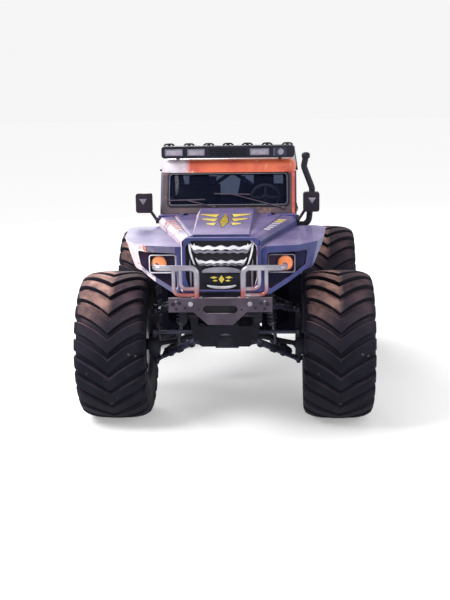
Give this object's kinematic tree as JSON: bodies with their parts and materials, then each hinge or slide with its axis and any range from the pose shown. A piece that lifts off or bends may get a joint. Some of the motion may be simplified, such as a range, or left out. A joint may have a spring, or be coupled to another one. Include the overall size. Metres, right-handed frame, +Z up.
{
  "type": "monster truck",
  "caption": "Tall off-road show truck with oversized chevron tyres, wishbone suspension, closed cab, bull bar, roof light bar, opening doors, hood and tailgate.",
  "frame": {"origin": "on the floor, under the middle of the truck's length and width", "axes": "+X to the driver's left side, +Y to the rear, +Z up; the nose points to -Y"},
  "size_m": [3.255, 5.8799, 3.046],
  "materials": {
    "frame_paint": "satin black chassis paint, dusty",
    "engine_iron": "oily cast metal",
    "axle_iron": "painted cast metal",
    "shaft_steel": "worn steel",
    "link_paint": "dark blue-grey paint, scratched",
    "shock_steel": "satin steel",
    "bumper_steel": "gunmetal paint, scuffed",
    "tube_steel": "grey satin steel",
    "body_blue": "violet-blue gloss paint, dirty",
    "grille_silver": "silver bars on black",
    "lamp_housing": "black moulded housing",
    "lamp_lens": "moulded lenses, amber and clear",
    "screen_orange": "orange-red gloss paint, chalked edges",
    "glass_dark": "tinted glass",
    "trim_black": "black textured plastic",
    "rack_black": "black powder coat",
    "seat_fabric": "dark woven cloth",
    "cage_steel": "grey-blue enamel",
    "tyre_rubber": "dusty rubber",
    "rim_alloy": "dark machined alloy"
  },
  "bodies": {
    "chassis": {"frame": "frame_paint", "engine": "engine_iron", "axle_diffs": "axle_iron", "drive_shafts": "shaft_steel", "suspension_arms": "link_paint", "shocks": "shock_steel", "rear_uprights": "axle_iron", "steering_rack": "shock_steel", "front_bumper": "bumper_steel", "bull_bar": "tube_steel", "grille_shell": "body_blue", "grille": "grille_silver", "nose_sides": "body_blue", "front_fenders": "body_blue", "headlamps": "lamp_housing", "lamp_lenses": "lamp_lens", "cab_tub": "body_blue", "windscreen_frame": "screen_orange", "windscreen": "glass_dark", "quarter_glass": "glass_dark", "wipers": "trim_black", "roof": "screen_orange", "lamp_rail": "rack_black", "light_bar": "lamp_housing", "quarter_panels": "body_blue", "tail_frame": "body_blue", "mirrors": "trim_black", "snorkel": "trim_black", "seats": "seat_fabric", "dashboard": "trim_black", "roll_cage": "cage_steel", "rear_bumper": "bumper_steel", "hinges": "rack_black"},
    "steering_link": {"tie_rods": "link_paint"},
    "steered_left": {"knuckle_left": "axle_iron"},
    "steered_right": {"knuckle_right": "axle_iron"},
    "wheel_front_left": {"tyre_front_left": "tyre_rubber", "rim_front_left": "rim_alloy"},
    "wheel_front_right": {"tyre_front_right": "tyre_rubber", "rim_front_right": "rim_alloy"},
    "wheel_rear_left": {"tyre_rear_left": "tyre_rubber", "rim_rear_left": "rim_alloy"},
    "wheel_rear_right": {"tyre_rear_right": "tyre_rubber", "rim_rear_right": "rim_alloy"},
    "hand_wheel": {"steering_wheel": "trim_black"},
    "hood_leaf": {"hood": "body_blue"},
    "door_left_leaf": {"door_left": "body_blue", "door_left_glass": "glass_dark"},
    "door_right_leaf": {"door_right": "body_blue", "door_right_glass": "glass_dark"},
    "gate_leaf": {"tailgate": "body_blue", "tailgate_glass": "glass_dark"}
  },
  "joints": [
    {"name": "steer_left", "type": "hinge", "parent": "chassis", "child": "steered_left", "pos_m": [0.8055, -1.65, 0.838], "axis": [0, 0, 1], "range_deg": [-22, 22]},
    {"name": "steer_right", "type": "hinge", "parent": "chassis", "child": "steered_right", "pos_m": [-0.8055, -1.65, 0.838], "axis": [0, 0, 1], "range_deg": [-22, 22]},
    {"name": "rack_slide", "type": "slide", "parent": "chassis", "child": "steering_link", "axis": [1, 0, 0], "range_m": [-0.09, 0.09]},
    {"name": "hand_wheel_turn", "type": "hinge", "parent": "chassis", "child": "hand_wheel", "pos_m": [0.43, -0.72, 2.395], "axis": [0, 0.9135, 0.4067], "range_deg": [-265, 265]},
    {"name": "hood_lift", "type": "hinge", "parent": "chassis", "child": "hood_leaf", "pos_m": [0, -1.203, 2.264], "axis": [-1, 0, 0], "range_deg": [0, 50]},
    {"name": "door_left_swing", "type": "hinge", "parent": "chassis", "child": "door_left_leaf", "pos_m": [0.809, -1.014, 1.9], "axis": [0, 0, -1], "range_deg": [0, 65]},
    {"name": "door_right_swing", "type": "hinge", "parent": "chassis", "child": "door_right_leaf", "pos_m": [-0.809, -1.014, 1.9], "axis": [0, 0, 1], "range_deg": [0, 65]},
    {"name": "tailgate_swing", "type": "hinge", "parent": "chassis", "child": "gate_leaf", "pos_m": [-0.617, 2.723, 2], "axis": [0, 0, 1], "range_deg": [0, 95]},
    {"name": "spin_front_left", "type": "hinge", "parent": "steered_left", "child": "wheel_front_left", "pos_m": [1.2425, -1.65, 0.838], "axis": [1, 0, 0], "continuous": true},
    {"name": "spin_front_right", "type": "hinge", "parent": "steered_right", "child": "wheel_front_right", "pos_m": [-1.2425, -1.65, 0.838], "axis": [1, 0, 0], "continuous": true},
    {"name": "spin_rear_left", "type": "hinge", "parent": "chassis", "child": "wheel_rear_left", "pos_m": [1.2425, 1.65, 0.838], "axis": [1, 0, 0], "continuous": true},
    {"name": "spin_rear_right", "type": "hinge", "parent": "chassis", "child": "wheel_rear_right", "pos_m": [-1.2425, 1.65, 0.838], "axis": [1, 0, 0], "continuous": true}
  ],
  "couplings": [
    {"joint": "steer_right", "follows": "steer_left", "ratio": 1},
    {"joint": "rack_slide", "follows": "steer_left", "m_per_rad": 0.2244},
    {"joint": "hand_wheel_turn", "follows": "steer_left", "ratio": 12}
  ]
}
